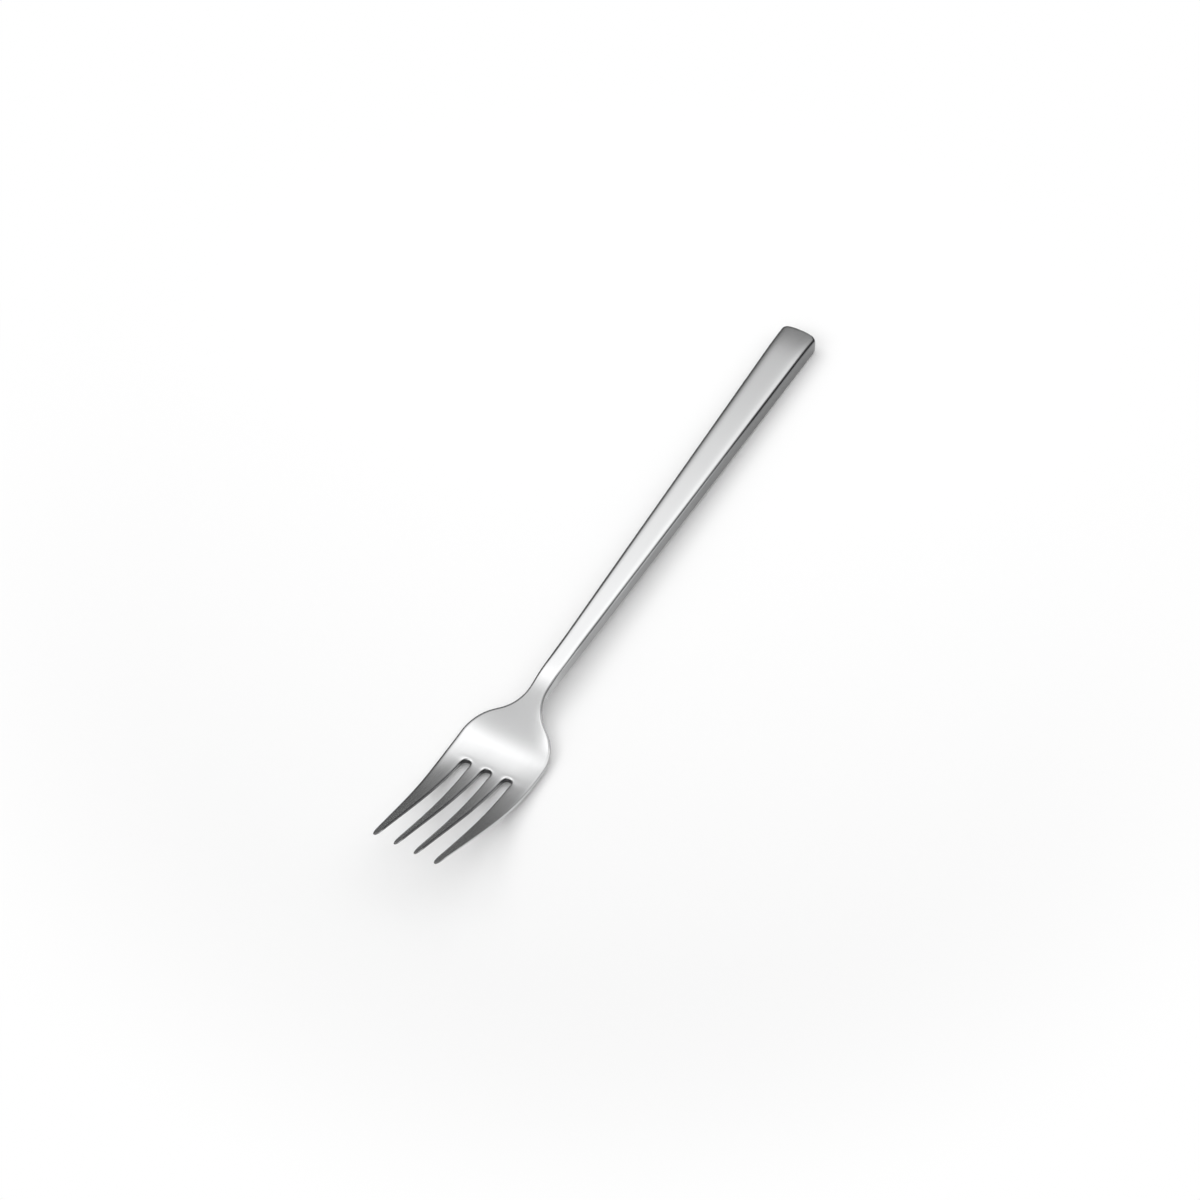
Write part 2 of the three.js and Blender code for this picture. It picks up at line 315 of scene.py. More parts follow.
print("Slot width:", 2 * SLOT_ROOT_RADIUS, "mm at the root,", 2 * SLOT_MOUTH_HALF, "mm at the mouth")

# %% [markdown]
# The head as a sheet
#
# A real fork head is a flat blank that is pressed to shape. The model follows that: a grid becomes
# the upper face, row by row, each row moved to its height and widened to the outline. Rows lie
# closer together where the outline curves. The bowl is slightly dished, so its rims are lifted.

# %% Head sheet
DISH_DEPTH = 0.7
DISH_END = 178


def steps(start, end, count):
    return [mix(start, end, step / count) for step in range(count)]


def dish(x):
    rise = ease(x, FLARE_START, BELLY)
    run_out = 1 - ease(x, BELLY, DISH_END)
    return DISH_DEPTH * rise * run_out


head_rows = [HEAD_START, 119.6, 123.0, 127.0] + steps(TOP_BEND, FLARE_START, 3)
head_rows += steps(FLARE_START, BELLY, 16) + [BELLY, 158.3, 159.8, 161.1, 162.5]
root_row = len(head_rows) - 1
head_rows += [SLOT_ROOT_CENTRE, 164.9, 167.4, 170.4, 174, 178, 182, 186, 190, 193.4, 196.2, SLOT_MOUTH]

head, head_points = add_sheet("steel_head", len(head_rows))
for row, x in enumerate(head_rows):
    place_row(head_points, row, x, head_top(x))
    half_width = head_half_width(x)
    for pair, offset in enumerate(head_offsets(x), start=1):
        lift = dish(x) * (offset / half_width) ** 3
        place_pair(head_points, row, pair, offset, (0, 0, lift))
print("Head sheet:", len(head_rows), "rows")

# %% [markdown]
# Slots
#
# The slots end in a half circle. The row at the slot ends is bent round that circle: the middle of
# the slot goes back to its crown and the two edges to its quarter points. A subdivision surface
# draws in a ring of five points, so the circle is laid out a little larger. Then the strips of faces
# in the slots are selected, by a test on their points, and deleted.

# %% Slot ends and strips
RING_ALLOWANCE = 1.06

ring_radius = SLOT_ROOT_RADIUS * RING_ALLOWANCE
quarter = ring_radius * math.sqrt(0.5)
crown_x = SLOT_ROOT_CENTRE - ring_radius
quarter_x = SLOT_ROOT_CENTRE - quarter


def pick(kind, test):
    """Selects the points, edges or faces that pass the test, and nothing else."""
    bpy.ops.mesh.select_mode(type=kind)
    bpy.ops.mesh.select_all(action="DESELECT")
    mesh = edit_mesh()
    parts = {"VERT": mesh.verts, "EDGE": mesh.edges, "FACE": mesh.faces}[kind]
    chosen = [part for part in parts if test(part)]
    for part in chosen:
        part.select_set(True)
    mesh.select_flush_mode()
    return len(chosen)


def bend_slot_end(column, crown_offset):
    """Bends the slot-end row round the slot whose middle is this column."""
    row_x = head_rows[root_row]
    pick_points([head_points[root_row, column], head_points[root_row, -column]])
    crown_lift = head_top(crown_x) - head_top(row_x)
    bpy.ops.transform.translate(value=((crown_x - row_x) * MM, 0, crown_lift * MM))
    quarter_lift = head_top(quarter_x) - head_top(row_x)
    edges = [(column + 1, crown_offset + quarter)]
    if column:
        edges.append((column - 1, crown_offset - quarter))
    for edge, offset in edges:
        place_pair(head_points, root_row, edge, offset, (quarter_x - row_x, 0, quarter_lift))


bend_slot_end(0, 0)
bend_slot_end(4, ROOT_PITCH)

slot_columns = {0, 1, 3, 4, 5}
slot_points = {
    number
    for (row, column), number in head_points.items()
    if row >= root_row and abs(column) in slot_columns
}
strips = pick("FACE", lambda face: all(vertex.index in slot_points for vertex in face.verts))
bpy.ops.mesh.delete(type="FACE")
print("Slot faces removed:", strips)

# %% [markdown]
# Thickness of the head
#
# The sheet is extruded far down, which closes it all round, and the lower points are lifted back to
# the underside's curve, one row at a time. The shank's upper face then gets the slight crown of the
# handle's face, so that the two run into each other at the joint.

# %% Head thickness and crown
DEEP = 100
FACE_CROWN = 0.5
NEAR = 1e-6


def is_near(value, place):
    """True for a value in metres that matches a place in millimetres."""
    return abs(value - place * MM) < NEAR


bpy.ops.mesh.select_all(action="SELECT")
bpy.ops.mesh.extrude_region_move(TRANSFORM_OT_translate={"value": (0, 0, -DEEP * MM)})
places = sorted({round(vertex.co.x / MM, 4) for vertex in edit_mesh().verts})
for x in places:
    pick("VERT", lambda vertex: vertex.co.z < -DEEP / 2 * MM and is_near(vertex.co.x, x))
    bpy.ops.transform.translate(value=(0, 0, (DEEP + head_under(x) - head_top(x)) * MM))

for x in [place for place in places if place < FLARE_START]:
    half_width = head_half_width(x)
    fade = 1 - ease(x, HANDLE_END, FLARE_START)
    for offset in head_offsets(x):
        pick("VERT", lambda v: v.co.z > 0 and is_near(v.co.x, x) and is_near(abs(v.co.y), offset))
        bpy.ops.transform.translate(value=(0, 0, -FACE_CROWN * fade * (offset / half_width) ** 6 * MM))

bpy.ops.mesh.select_all(action="SELECT")
bpy.ops.mesh.normals_make_consistent(inside=False)
print("Head solid:", len(edit_mesh().faces), "faces")

# %% [markdown]
# Rims of the head
#
# A pressed and polished fork has no sharp edge. Every long edge is bevelled where an upright wall
# meets the upper or lower face. The edges at the joint and at the ends of the tines are left out,
# because other faces follow there. The rims of the slots are a little sharper than the outer ones,
# since a polisher's wheel reaches less far into them.

# %% Head rims
RIM_RADIUS = 0.42
SLOT_RIM_RADIUS = 0.3
SHARP = math.radians(50)

slot_back = crown_x - 0.2
slot_front = SLOT_MOUTH - 0.1


def upright(edge):
    run = edge.verts[1].co - edge.verts[0].co
    return abs(run.z) > math.hypot(run.x, run.y)


def lies_at(edge, x):
    return all(is_near(vertex.co.x, x) for vertex in edge.verts)


def in_slots(place):
    """True for a place, in metres, that lies at a slot and not at the outer rim."""
    x, y = place.x / MM, place.y / MM
    return slot_back < x < slot_front and abs(y) < head_half_width(x) - RIM_GUARD


def is_head_rim(edge):
    at_end = lies_at(edge, HEAD_START) or lies_at(edge, SLOT_MOUTH)
    return not at_end and not upright(edge) and edge.calc_face_angle() > SHARP


def is_slot_rim(edge):
    return is_head_rim(edge) and in_slots((edge.verts[0].co + edge.verts[1].co) / 2)


def round_rims(test, radius):
    """Bevels the edges that pass the test and returns the numbers of the bevels' upper points."""
    pick("EDGE", test)
    bpy.ops.mesh.bevel(offset=radius * MM, segments=2, affect="EDGES", clamp_overlap=False)
    return {vertex.index for vertex in edit_mesh().verts if vertex.select and vertex.normal.z > 0.5}


slot_rims = round_rims(is_slot_rim, SLOT_RIM_RADIUS)
outer_rims = round_rims(is_head_rim, RIM_RADIUS)
print("Upper rim points:", len(slot_rims), "in the slots and", len(outer_rims), "outside")

# %% [markdown]
# Painted shade on rims and sides
#
# The upper outer rims get a thin dark line round the fork, painted into the steel's colour: a painted
# dark reflection of the dim room and the shaded table beside the fork. The line isn't even: dark all
# along the right side, where it also fades a little into the face, and on the left side fading from the
# butt to the neck and again towards the tines. The flat sides get painted shade, darkest near the butt,
# for the shaded table beside them that they mirror. Each list gives places along the fork, counted from
# the butt, and how dark the painted shade is from there on. The rim list has one value for each side.

# %% Paint shade on the rims and sides
# Painted shade on the flat sides, for the shaded table they mirror: place, darkness.
SIDE_SHADE = [
    (-1, 0.8),
    (50, 0.75),
    (75, 0.65),
    (95, 0.55),
    (112, 0.47),
    (125, 0.4),
    (129, 0.3),
    (132, 0.2),
    (134, 0.1),
]
# Painted dark reflection on the upper rims: place, right rim, left rim.
RIM_SHADE = [
    (-1, 1.0, 1.0),
    (40, 1.0, 0.65),
    (60, 1.0, 0.35),
    (80, 1.0, 0.2),
    (100, 1.0, 0.1),
    (129, 1.0, 0.4),
    (132, 1.0, 0.7),
    (143, 1.0, 0.5),
    (150, 1.0, 0.25),
    (170, 0.8, 0.1),
]
# Painted shade on the points beside the right rim.
RIM_SHADE_FADE = [(-1, 0.3), (45, 0.1), (80, 0.25), (95, 0.5), (128, 0.2), (133, 0)]


def middle_x(face):
    return face.calc_center_median().x / MM


def paint_side_shade():
    """Paints shade on the flat sides of the handle and the shank, from each place onwards."""
    for start, painted_shade in SIDE_SHADE:
        pick("FACE", lambda face: abs(face.normal.y) > 0.9 and start < middle_x(face) < FLARE_START)
        bpy.ops.mesh.attribute_set(value_float=painted_shade)


def paint_rim_shade(numbers):
    """Writes the painted shade of these rim points, a painted dark reflection, on both sides from each
    place on.
    """
    for start, right, left in RIM_SHADE:
        for side, painted_shade in ((-1, right), (1, left)):
            pick("VERT", lambda v: v.index in numbers and v.co.x > start * MM and v.co.y * side > 0)
            bpy.ops.mesh.attribute_set(value_float=painted_shade)


def paint_shade_beside_rims(numbers):
    """Paints a little shade beside the right rim, where the painted dark line fades into the face."""

    def beside_rim(vertex):
        met = any(edge.other_vert(vertex).index in numbers for edge in vertex.link_edges)
        return met and vertex.index not in numbers and vertex.normal.z > 0.9 and vertex.co.y < 0

    for start, painted_shade in RIM_SHADE_FADE:
        pick("VERT", lambda vertex: beside_rim(vertex) and vertex.co.x > start * MM)
        bpy.ops.mesh.attribute_set(value_float=painted_shade)


# Painted shade on the shank's sides and painted dark reflections along the head's rims.
paint_side_shade()
paint_rim_shade(outer_rims)
paint_shade_beside_rims(outer_rims)
print("Sides dulled in", len(SIDE_SHADE), "steps and rims in", len(RIM_SHADE))

# %% [markdown]
# Slot ends
#
# A buffing wheel runs over the ends of the slots and wears their rims rounder than the others. Those
# points are spread from the centre of each end, which makes a wide rim that catches the light.

# %% Wear the slot ends
WEAR = 1.2
WEAR_REACH = 2


def wear_slot_end(centre):
    """Spreads the rim round the slot end that lies at this place across the fork."""

    def at_end(vertex):
        x, y = vertex.co.x / MM - SLOT_ROOT_CENTRE, vertex.co.y / MM - centre
        return x < 0.05 and math.hypot(x, y) < WEAR_REACH and vertex.normal.z > 0.5

    count = pick("VERT", at_end)
    bpy.ops.transform.resize(value=(WEAR, WEAR, 1), center_override=(SLOT_ROOT_CENTRE * MM, centre * MM, 0))
    return count


for centre in (-ROOT_PITCH, 0, ROOT_PITCH):
    print("Points worn at", centre, "mm:", wear_slot_end(centre))

# %% [markdown]
# Painted shade in the slots
#
# The faces inside the slots come from the cutting tool. Painted shade darkens them, for the shadow and
# the dim reflections deep in the slots: darkest at the round ends and between the slim ends of the
# tines, less along the wide walls near the roots.

# %% Paint shade on the cut faces
# Painted shade on the slot walls, from each place onwards.
SLOT_SHADE = [(slot_back, 1.0), (SLOT_ROOT_CENTRE + 1, 0.55), (172, 0.75), (180, 1.0)]


def is_cut_face(face):
    return in_slots(face.calc_center_median()) and abs(face.normal.z) < 0.5


for start, painted_shade in SLOT_SHADE:
    walls = pick("FACE", lambda face: is_cut_face(face) and middle_x(face) > start)
    bpy.ops.mesh.attribute_set(value_float=painted_shade)
    print("Cut faces from", round(start, 1), "mm on:", walls)

# %% [markdown]
# Tine tips
#
# Each tine ends in a small rounded point. Its end face is extruded forward in four steps, along the
# rise of the tine, and made smaller each time. The outer tines lean inwards as they go. That is quicker
# than rounding the end by bevels, and the steps set how blunt the point is. Each step gives a run
# forward, a scale and how much shade is painted on it: the very end gets a painted dark reflection.

# %% Tine tips
# Run, scale and painted shade of each step; the painted shade is darkest at the very end.
TIP_STEPS = [(1.3, 0.94, 0.3), (1.0, 0.85, 0.5), (0.6, 0.72, 0.8), (0.5, 0.5, 1)]
TINE_RISE = 0.43
OUTER_LEAN = 0.03
TINE_REACH = 1.4


def draw_tip(centre):
    """Extrudes the end face of the tine at this place across the fork into a point."""

    def is_end(face):
        across = face.calc_center_median().y / MM - centre
        return face.normal.x > 0.9 and middle_x(face) > SLOT_MOUTH - 1 and abs(across) < TINE_REACH

    pick("FACE", is_end)
    for run, scale, painted_shade in TIP_STEPS:
        inward = -math.copysign(OUTER_LEAN, centre) * run if abs(centre) > ROOT_PITCH else 0
        bpy.ops.mesh.extrude_region_move(
            TRANSFORM_OT_translate={"value": (run * MM, inward * MM, run * TINE_RISE * MM)}
        )
        ends = [vertex.co for vertex in edit_mesh().verts if vertex.select]
        low = [min(end[axis] for end in ends) for axis in range(3)]
        high = [max(end[axis] for end in ends) for axis in range(3)]
        middle = [(a + b) / 2 for a, b in zip(low, high)]
        bpy.ops.transform.resize(value=(1, scale, scale), center_override=middle)
        # Painted shade on this ring of the tip.
        bpy.ops.mesh.attribute_set(value_float=painted_shade)


mouth_pitch = slot_pitch(SLOT_MOUTH)
inner_tine = mouth_pitch / 2
outer_tine = (mouth_pitch + SLOT_MOUTH_HALF + head_half_width(SLOT_MOUTH)) / 2
for tine in (-outer_tine, -inner_tine, inner_tine, outer_tine):
    draw_tip(tine)
print("Tine tips at", round(inner_tine, 2), "and", round(outer_tine, 2), "mm from the middle")

# %% [markdown]
# Plug and tang
#
# Behind the joint the head goes on inside the handle: a plug that fits the two shells, then a tang
# that the filler holds. Both are extruded from the shank's end face: first in place and made smaller,
# which leaves a shoulder, then back into the handle. The edges of the shank's end face get a full
# crease, which keeps them sharp when the head is smoothed.

# %% Plug and tang
PLUG_LENGTH = 8
PLUG_SHARE = 0.62
TANG_LENGTH = 38
TANG_SHARE = 0.55
TANG_END_SHARE = 0.65


def is_joint_face(face):
    return face.normal.x < -0.9 and is_near(face.calc_center_median().x, HEAD_START)


def draw_back(run, share):
    """Extrudes the selected end face back by this run and makes it smaller."""
    bpy.ops.mesh.extrude_region_move(TRANSFORM_OT_translate={"value": (-run * MM, 0, 0)})
    bpy.ops.transform.resize(value=(1, share, share), center_override=(0, 0, 0))


pick("FACE", is_joint_face)
draw_back(0, PLUG_SHARE)
draw_back(PLUG_LENGTH, 1)
draw_back(0, TANG_SHARE)
draw_back(TANG_LENGTH, TANG_END_SHARE)


def is_joint_edge(edge):
    return edge.calc_face_angle() > SHARP and lies_at(edge, HEAD_START)


joint_edges = pick("EDGE", is_joint_edge)
bpy.ops.transform.edge_crease(value=1)
bpy.ops.object.mode_set(mode="OBJECT")
print("Creased joint edges:", joint_edges)

# %% [markdown]
# Smoothing
#
# A subdivision surface makes the coarse cage smooth, the way a polisher takes off the last facets.
# It is applied, so the finished mesh holds the smooth shape itself.

# %% Smooth the head
SMOOTH_LEVELS = 2
SMOOTH_ANGLE = math.radians(40)


def smooth(piece):
    bpy.ops.object.modifier_add(type="SUBSURF")
    modifier = piece.modifiers[-1]
    modifier.levels = SMOOTH_LEVELS
    modifier.render_levels = SMOOTH_LEVELS
    bpy.ops.object.modifier_apply(modifier=modifier.name)
    bpy.ops.object.shade_smooth_by_angle(angle=SMOOTH_ANGLE)
    print(piece.name, "has", len(piece.data.polygons), "faces")


smooth(head)

# %% [markdown]
# Handle halves
#
# Each half of the handle is a pressed lid: one long face, with walls on both sides and at the butt.
# The face is a sheet again. Towards the butt it is rounded in plan and bows out a little, and the
# upper face rolls down over the last few millimetres. The upper face also has a slight crown, which
# makes the light fall off towards its edges.

# %% Face of a handle half
BUTT_HALF = 4.95
BUTT_CORNER = 0.9
BUTT_BOW = 0.45
BUTT_ROLL = 0.75
BUTT_RUN = 14
BUTT_DROP = 0.25

handle_rows = [HANDLE_END, 117.6, 112] + steps(100, 20, 6)
handle_rows += [20, 15.5, 12.5, 10, 7.8, 5.8, 4, 2.6, 1.5, 0.65, 0]


def handle_half_width(x):
    left = max(BUTT_CORNER - x, 0)
    corner = BUTT_CORNER - math.sqrt(BUTT_CORNER**2 - left**2)
    return mix(BUTT_HALF, JOINT_HALF, x / HANDLE_END) - corner


def handle_height(x, roll):
    half_thickness = mix(BUTT_THICKNESS, JOINT_THICKNESS, x / HANDLE_END) / 2
    near_butt = max(1 - x / BUTT_RUN, 0)
    drop = BUTT_DROP if x == 0 else 0
    return half_thickness - roll * near_butt**3 - drop


def handle_face(name, side, crown, roll):
    """The long face of a handle half, above the seam for side 1 and below it for side -1."""
    sheet, points = add_sheet(name, len(handle_rows))
    for row, x in enumerate(handle_rows):
        place_row(points, row, x, side * handle_height(x, roll))
        half_width = handle_half_width(x)
        bow = BUTT_BOW * max(1 - x / BUTT_RUN, 0)
        for pair, offset in enumerate(even_offsets(handle_half_width, x), start=1):
            share = offset / half_width
            place_pair(points, row, pair, offset, (bow * share**2, 0, -crown * share**6))
    return sheet


upper = handle_face("steel_handle_upper", 1, FACE_CROWN, BUTT_ROLL)
print("Upper face:", len(handle_rows), "rows")

# %% [markdown]
# Walls of a handle half
#
# The open edges of the face, except at the joint, are extruded and flattened onto the seam, which
# makes the walls in one go. Solidify then gives the sheet its wall thickness inwards. Only the outer
# rim is rounded. The seam and the open end stay sharp, because the other half and the head meet them
# there, ground flush.

# %% Walls, rim and smoothing
SEAM_HALF_GAP = 0.002
BLUNT = math.radians(35)
SHELL_WALL = 0.8


def finish_half(piece, side):
    seam = side * SEAM_HALF_GAP * MM

    def at_seam(edge):
        return all(abs(vertex.co.z - seam) < NEAR for vertex in edge.verts)

    pick("EDGE", lambda edge: edge.is_boundary and not lies_at(edge, HANDLE_END))
    bpy.ops.mesh.extrude_edges_move(TRANSFORM_OT_translate={"value": (0, 0, -side * MM)})
    bpy.ops.transform.resize(value=(1, 1, 0), center_override=(0, 0, seam))
    bpy.ops.mesh.select_all(action="SELECT")
    bpy.ops.mesh.normals_make_consistent(inside=False)
    outer_points = len(edit_mesh().verts)
    bpy.ops.object.mode_set(mode="OBJECT")

    bpy.ops.object.modifier_add(type="SOLIDIFY")
    wall = piece.modifiers[-1]
    wall.thickness = SHELL_WALL * MM
    wall.offset = -1
    wall.use_even_offset = True
    bpy.ops.object.modifier_apply(modifier=wall.name)

    def is_rim(edge):
        outer = all(vertex.index < outer_points for vertex in edge.verts)
        ends = at_seam(edge) or lies_at(edge, HANDLE_END)
        return outer and not ends and not upright(edge) and edge.calc_face_angle() > BLUNT

    bpy.ops.object.mode_set(mode="EDIT")
    rim = round_rims(is_rim, RIM_RADIUS)
    # Painted shade on the sides and a painted dark reflection along the rim, as on the head.
    paint_side_shade()
    paint_rim_shade(rim)
    paint_shade_beside_rims(rim)
    pick("EDGE", lambda e: e.calc_face_angle(0) > SHARP and (at_seam(e) or lies_at(e, HANDLE_END)))
    bpy.ops.transform.edge_crease(value=1)
    bpy.ops.object.mode_set(mode="OBJECT")
    print(piece.name, "has", len(rim), "upper rim points")
    smooth(piece)


finish_half(upper, 1)

# %% [markdown]
# Lower half
#
# The lower half is made in the same way. It lies on the table, so its face is plain: no crown and no
# roll at the butt.

# %% Lower half
lower = handle_face("steel_handle_lower", -1, 0, 0)
finish_half(lower, -1)

# %% [markdown]
# On the table
#
# The fork lies on its butt and on the belly of its bowl, so its handle slopes by about a degree. The
# three pieces are turned and moved together, and the move is applied to their meshes: a finish that
# is laid out on object coordinates then stays where it is.

# %% Lay the pieces down
REST_TURN = -0.0207338
REST_PLACE = (-0.1005618, 0, 0.0029032)

bpy.ops.object.select_all(action="DESELECT")
stands_for = {"fork_head": head, "handle_upper_shell": upper, "handle_lower_shell": lower}
for piece in stands_for.values():
    piece.rotation_euler = (0, REST_TURN, 0)
    piece.location = REST_PLACE
    piece.select_set(True)
bpy.ops.object.transform_apply(location=True, rotation=True, scale=True)
for node, piece in stands_for.items():
    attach(piece, "root")
    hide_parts(node)
print("Pieces laid down:", ", ".join(piece.name for piece in stands_for.values()))

# %% [markdown]
# Uneven tone
#
# No surface has one flat value. This node group makes a soft cloud of values around one half, which
# both the steel and the filler use: on steel it shifts the tone a little, on the filler it makes the
# mottled colour and the pits of set cement.

# %% Cloud group
def add_node(tree, kind, **settings):
    node = tree.nodes.new(kind)
    for name, value in settings.items():
        setattr(node, name, value)
    return node


cloud = bpy.data.node_groups.new("cloud_tone", "ShaderNodeTree")
for label, value in (("Scale", 60.0), ("Detail", 4.0)):
    socket = cloud.interface.new_socket(name=label, in_out="INPUT", socket_type="NodeSocketFloat")
    socket.default_value = value
cloud.interface.new_socket(name="Value", in_out="OUTPUT", socket_type="NodeSocketFloat")
cloud_in = add_node(cloud, "NodeGroupInput")
cloud_out = add_node(cloud, "NodeGroupOutput")
cloud_place = add_node(cloud, "ShaderNodeTexCoord")
cloud_noise = add_node(cloud, "ShaderNodeTexNoise")
cloud.links.new(cloud_place.outputs["Object"], cloud_noise.inputs["Vector"])
cloud.links.new(cloud_in.outputs["Scale"], cloud_noise.inputs["Scale"])
cloud.links.new(cloud_in.outputs["Detail"], cloud_noise.inputs["Detail"])
cloud.links.new(cloud_noise.outputs["Fac"], cloud_out.inputs["Value"])
print("Node group:", cloud.name)

# %% [markdown]
# Satin steel
#
# Satin cutlery is brushed along its length with a fine belt. Up close there are hair-thin lines, a
# fraction of a millimetre apart and centimetres long. A noise that is stretched along x gives them.
# They vary the roughness and stand a few micrometres high, so they spread the light across the
# handle without showing as a pattern from a distance.

# %% Brush lines
steel = bpy.data.materials.new("satin_steel")
steel.use_nodes = True
tree = steel.node_tree
surface = tree.nodes["Principled BSDF"]
surface.inputs["Metallic"].default_value = 1.0

place = add_node(tree, "ShaderNodeTexCoord")
stretch = add_node(tree, "ShaderNodeMapping")
stretch.inputs["Scale"].default_value = (45, 2600, 2600)
lines = add_node(tree, "ShaderNodeTexNoise")
lines.inputs["Scale"].default_value = 1.0
lines.inputs["Detail"].default_value = 3.0
tree.links.new(place.outputs["Object"], stretch.inputs["Vector"])
tree.links.new(stretch.outputs["Vector"], lines.inputs["Vector"])

gloss = add_node(tree, "ShaderNodeMapRange")
gloss.inputs["From Min"].default_value = 0.3
gloss.inputs["From Max"].default_value = 0.7
gloss.inputs["To Min"].default_value = 0.21
gloss.inputs["To Max"].default_value = 0.25
tree.links.new(lines.outputs["Fac"], gloss.inputs["Value"])
tree.links.new(gloss.outputs["Result"], surface.inputs["Roughness"])

relief = add_node(tree, "ShaderNodeBump")
relief.inputs["Strength"].default_value = 0.03
relief.inputs["Distance"].default_value = 0.00001
tree.links.new(lines.outputs["Fac"], relief.inputs["Height"])
tree.links.new(relief.outputs["Normal"], surface.inputs["Normal"])
print("Material:", steel.name)

# %% [markdown]
# Tone of the steel
#
# Clouds shift the grey of the steel by a few hundredths, as on cutlery that has been wiped and
# handled. Where painted shade is written in the attribute, the tone goes down towards a dark grey:
# the painted shade and painted dark reflections on the rims, sides, slot walls and tine tips.

# %% Steel tone
clouds = add_node(tree, "ShaderNodeGroup", node_tree=cloud)
clouds.inputs["Scale"].default_value = 70
tone = add_node(tree, "ShaderNodeMix", data_type="RGBA")
tone.inputs["A"].default_value = (0.605, 0.607, 0.61, 1)
tone.inputs["B"].default_value = (0.635, 0.637, 0.64, 1)
tree.links.new(clouds.outputs["Value"], tone.inputs["Factor"])

painted_shade = add_node(tree, "ShaderNodeAttribute", attribute_name="painted_shade")
# Painted shade: this dark grey stands in for shade and dark reflections on the steel.
painted_shade_tone = add_node(tree, "ShaderNodeMix", data_type="RGBA")
painted_shade_tone.inputs["B"].default_value = (0.1, 0.1, 0.103, 1)
tree.links.new(painted_shade.outputs["Fac"], painted_shade_tone.inputs["Factor"])
tree.links.new(tone.outputs["Result"], painted_shade_tone.inputs["A"])
tree.links.new(painted_shade_tone.outputs["Result"], surface.inputs["Base Color"])

for piece in stands_for.values():
    piece.data.materials.clear()
    piece.data.materials.append(steel)
print("Steel finish on", len(stands_for), "pieces")

# %% [markdown]
# Filler
#
# The filler is cast into the handle and never seen once the fork is closed. It keeps its packed
# shape and gets the look of set cement: a mottled warm grey, dull, with fine pits.

# %% Cement material
cement = bpy.data.materials.new("filler_cement")
cement.use_nodes = True
tree = cement.node_tree
surface = tree.nodes["Principled BSDF"]
mottle = add_node(tree, "ShaderNodeGroup", node_tree=cloud)
mottle.inputs["Scale"].default_value = 220
shade = add_node(tree, "ShaderNodeMix", data_type="RGBA")
shade.inputs["A"].default_value = (0.27, 0.25, 0.22, 1)
shade.inputs["B"].default_value = (0.40, 0.38, 0.34, 1)
tree.links.new(mottle.outputs["Value"], shade.inputs["Factor"])
tree.links.new(shade.outputs["Result"], surface.inputs["Base Color"])
surface.inputs["Roughness"].default_value = 0.92
pits = add_node(tree, "ShaderNodeGroup", node_tree=cloud)
pits.inputs["Scale"].default_value = 1800
pitting = add_node(tree, "ShaderNodeBump")
pitting.inputs["Strength"].default_value = 0.5
pitting.inputs["Distance"].default_value = 0.0001
tree.links.new(pits.outputs["Value"], pitting.inputs["Height"])
tree.links.new(pitting.outputs["Normal"], surface.inputs["Normal"])

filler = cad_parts["handle_filler"]
filler.data.materials.clear()
filler.data.materials.append(cement)
print("Cement finish on", filler.name)

# %% [markdown]
# Floor
#
# The photograph shows the fork on clean white. A wide plane of near-white matt lies under it and takes
# its shadow.

# %% Floor
FLOOR_SIZE = 8

bpy.ops.object.select_all(action="DESELECT")
bpy.ops.mesh.primitive_plane_add(size=FLOOR_SIZE, location=(0, 0, 0))
floor = bpy.context.object
floor.name = "white_table"

table_white = bpy.data.materials.new("table_white")
table_white.use_nodes = True
tree = table_white.node_tree
table = tree.nodes["Principled BSDF"]
table.inputs["Base Color"].default_value = (0.98, 0.98, 0.98, 1)
table.inputs["Roughness"].default_value = 1.0
table.inputs["Specular IOR Level"].default_value = 0.0
floor.data.materials.append(table_white)
print("Floor:", floor.name)

# %% [markdown]
# White surround
#
# Away from the fork the floor turns plain white, as on a sheet of paper that has no end. Only the
# camera and the metal that mirrors the floor see this white. It sheds no light on the fork that the
# matt wouldn't.

# %% White surround
SHADOW_REACH = 0.11
WHITE_REACH = 0.19

place = add_node(tree, "ShaderNodeTexCoord")
reach = add_node(tree, "ShaderNodeVectorMath", operation="LENGTH")
away = add_node(tree, "ShaderNodeMapRange", interpolation_type="SMOOTHSTEP")
away.inputs["From Min"].default_value = SHADOW_REACH
away.inputs["From Max"].default_value = WHITE_REACH
tree.links.new(place.outputs["Object"], reach.inputs[0])
tree.links.new(reach.outputs["Value"], away.inputs["Value"])

rays = add_node(tree, "ShaderNodeLightPath")
seen = add_node(tree, "ShaderNodeMath", operation="MAXIMUM")
seen_through = add_node(tree, "ShaderNodeMath", operation="MAXIMUM")
share = add_node(tree, "ShaderNodeMath", operation="MULTIPLY")
tree.links.new(rays.outputs["Is Camera Ray"], seen.inputs[0])
tree.links.new(rays.outputs["Is Glossy Ray"], seen.inputs[1])
tree.links.new(seen.outputs["Value"], seen_through.inputs[0])
tree.links.new(rays.outputs["Is Transmission Ray"], seen_through.inputs[1])
tree.links.new(seen_through.outputs["Value"], share.inputs[0])
tree.links.new(away.outputs["Result"], share.inputs[1])

white = add_node(tree, "ShaderNodeEmission")
blend = add_node(tree, "ShaderNodeMixShader")
tree.links.new(share.outputs["Value"], blend.inputs["Fac"])
tree.links.new(table.outputs["BSDF"], blend.inputs[1])
tree.links.new(white.outputs["Emission"], blend.inputs[2])
tree.links.new(blend.outputs["Shader"], tree.nodes["Material Output"].inputs["Surface"])
print("Plain white from", WHITE_REACH, "m outwards")

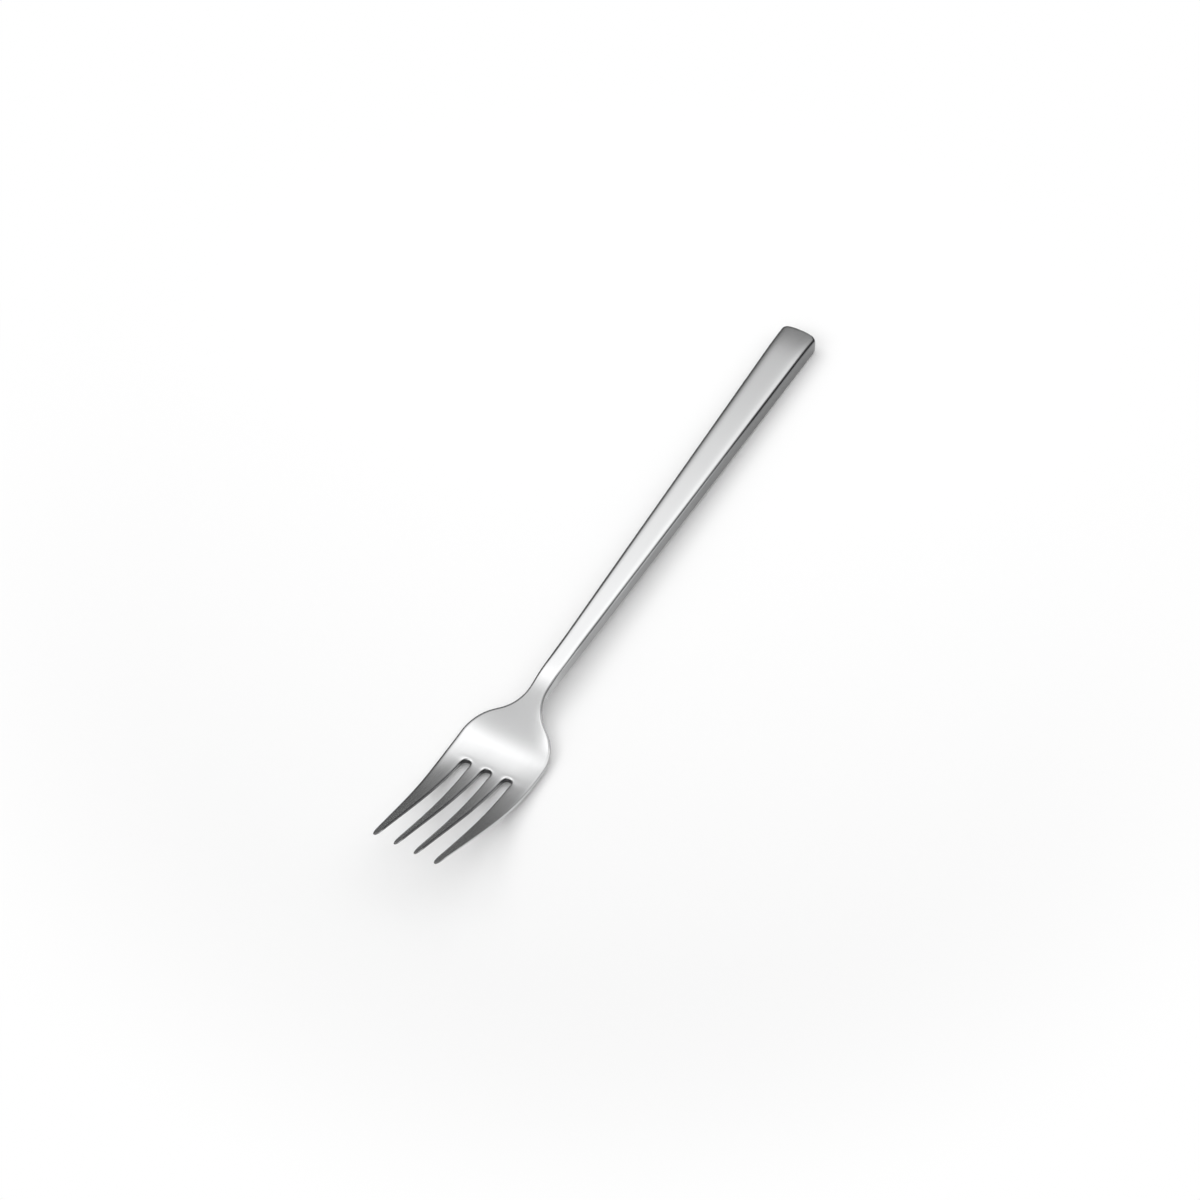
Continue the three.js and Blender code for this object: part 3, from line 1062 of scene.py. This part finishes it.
# %% [markdown]
# Room
#
# Satin metal shows its surroundings, so the room is what gives the fork its shades. The room is dark
# at the horizon and pale overhead: the tines, which lean towards the horizon behind the handle, turn
# dark grey, and the bowl stays pale. The wall in front of the tines is pale too. The fork hardly
# mirrors it towards the camera, and it fills the shadows on the table.

# %% Room
LOW_SHADES = [(0, 0.02), (0.17, 0.1), (0.34, 0.265), (0.5, 0.295)]
HIGH_SHADES = [(0.7, 0.4), (0.87, 0.7), (0.96, 0.77), (1, 1.0)]
HEIGHT_SHADES = LOW_SHADES + HIGH_SHADES

world = bpy.data.worlds.new("studio_room")
scene.world = world
world.use_nodes = True
room = world.node_tree
backdrop = room.nodes["Background"]
direction = add_node(room, "ShaderNodeTexCoord")
upward = add_node(room, "ShaderNodeSeparateXYZ")
height = add_node(room, "ShaderNodeValToRGB")
stops = height.color_ramp.elements
while len(stops) < len(HEIGHT_SHADES):
    stops.new(1.0)
for stop, (position, value) in zip(stops, HEIGHT_SHADES):
    stop.position = position
    stop.color = (value, value, value, 1)
room.links.new(direction.outputs["Generated"], upward.inputs["Vector"])
room.links.new(upward.outputs["Z"], height.inputs["Fac"])
room.links.new(height.outputs["Color"], backdrop.inputs["Color"])

front = add_node(room, "ShaderNodeMapRange", interpolation_type="SMOOTHSTEP")
front.inputs["From Min"].default_value = 0.35
front.inputs["From Max"].default_value = 0.8
front.inputs["To Min"].default_value = 1.0
front.inputs["To Max"].default_value = 4.0
room.links.new(upward.outputs["X"], front.inputs["Value"])
room.links.new(front.outputs["Result"], backdrop.inputs["Strength"])
print("Room:", world.name)

# %% [markdown]
# Soft boxes
#
# One soft box hangs behind the handle. The bowl mirrors it as a white band, and it is near enough for
# the light along the handle to change with distance: grey at the butt, pale at the neck. A second one,
# high on the fork's right, lifts the opposite half of the bowl. A small one in front draws a light
# line on the rims of the slot ends. The cloth of a soft box is brightest in the middle, so each lamp
# fades from there to its edges.

# %% Soft boxes
LAMP_AIM = Vector((0.03, 0, 0))


def add_soft_box(name, azimuth, elevation, distance, size, level):
    """An oblong lamp that faces the fork from this direction, given in degrees."""
    width, height = size
    turn, lift = math.radians(azimuth), math.radians(elevation)
    way = Vector((math.cos(turn) * math.cos(lift), math.sin(turn) * math.cos(lift), math.sin(lift)))
    bpy.ops.object.select_all(action="DESELECT")
    bpy.ops.object.light_add(type="AREA", location=LAMP_AIM + distance * way)
    box = bpy.context.object
    box.name = name
    box.visible_camera = False
    box.rotation_euler = way.to_track_quat("Z", "Y").to_euler()
    lamp = box.data
    lamp.shape = "RECTANGLE"
    lamp.size = width
    lamp.size_y = height
    lamp.energy = level * math.pi * width * height
    lamp.use_nodes = True
    cloth = lamp.node_tree
    spot = add_node(cloth, "ShaderNodeNewGeometry")
    middle = add_node(cloth, "ShaderNodeVectorMath", operation="DISTANCE")
    middle.inputs[1].default_value = (0.5, 0.5, 0)
    fade = add_node(cloth, "ShaderNodeMapRange", interpolation_type="SMOOTHSTEP")
    fade.inputs["From Min"].default_value = 0.47
    fade.inputs["From Max"].default_value = 0.13
    cloth.links.new(spot.outputs["Parametric"], middle.inputs[0])
    cloth.links.new(middle.outputs["Value"], fade.inputs["Value"])
    cloth.links.new(fade.outputs["Result"], cloth.nodes["Emission"].inputs["Strength"])
    print(name, "at", tuple(round(place, 3) for place in box.location))


add_soft_box("back_soft_box", azimuth=-177, elevation=62.8, distance=0.45, size=(1.39, 0.57), level=1.06)
add_soft_box("side_soft_box", azimuth=-83, elevation=50, distance=2.4, size=(1.55, 1.55), level=2.6)
add_soft_box("front_soft_box", azimuth=-28, elevation=45, distance=1.2, size=(0.8, 0.8), level=2.2)
